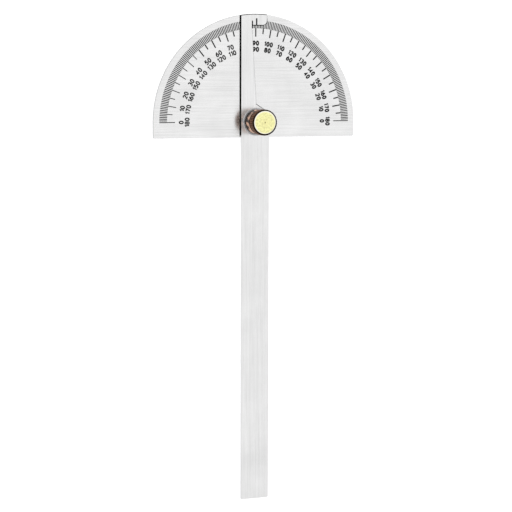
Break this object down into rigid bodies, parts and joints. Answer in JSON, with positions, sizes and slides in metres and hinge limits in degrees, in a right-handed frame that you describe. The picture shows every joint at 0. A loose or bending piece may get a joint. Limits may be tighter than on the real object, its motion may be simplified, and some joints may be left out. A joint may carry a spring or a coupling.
{
  "type": "protractor",
  "caption": "Half-round steel protractor with a degree scale, a long swinging arm with a reading window, and a knurled brass thumb nut that clamps it.",
  "frame": {"origin": "on the pivot axis, in the flat back face of the pivot stud's head, which the part rests on", "axes": "+Z along the pivot axis towards the thumb nut, +Y from the pivot to the 90 degree mark, and the arm lies along -Y at rest"},
  "size_m": [0.0864, 0.1995, 0.0132],
  "materials": {
    "dial_steel": "satin brushed stainless steel sheet",
    "arm_steel": "satin stainless steel sheet, brushed along the arm",
    "stud_steel": "turned steel",
    "washer_steel": "plain steel washer",
    "nut_brass": "turned and knurled brass",
    "scale_black": "matt black filled etching"
  },
  "bodies": {
    "dial": {"dial_plate": "dial_steel", "pivot_stud": "stud_steel"},
    "arm": {"arm": "arm_steel"},
    "washer": {"flat_washer": "washer_steel"},
    "nut": {"thumb_nut": "nut_brass"}
  },
  "joints": [
    {"name": "arm_swing", "type": "hinge", "parent": "dial", "child": "arm", "pos_m": [0, 0, 0.00253], "axis": [0, 0, 1], "range_deg": [-90, 90]},
    {"name": "nut_lift", "type": "slide", "parent": "dial", "child": "washer", "axis": [0, 0, 1], "range_m": [0, 0.0014]},
    {"name": "nut_turn", "type": "hinge", "parent": "washer", "child": "nut", "pos_m": [0, 0, 0.00803], "axis": [0, 0, 1], "range_deg": [0, 720]}
  ],
  "couplings": [
    {"joint": "nut_lift", "follows": "nut_turn", "m_per_rad": 0.0001114}
  ]
}
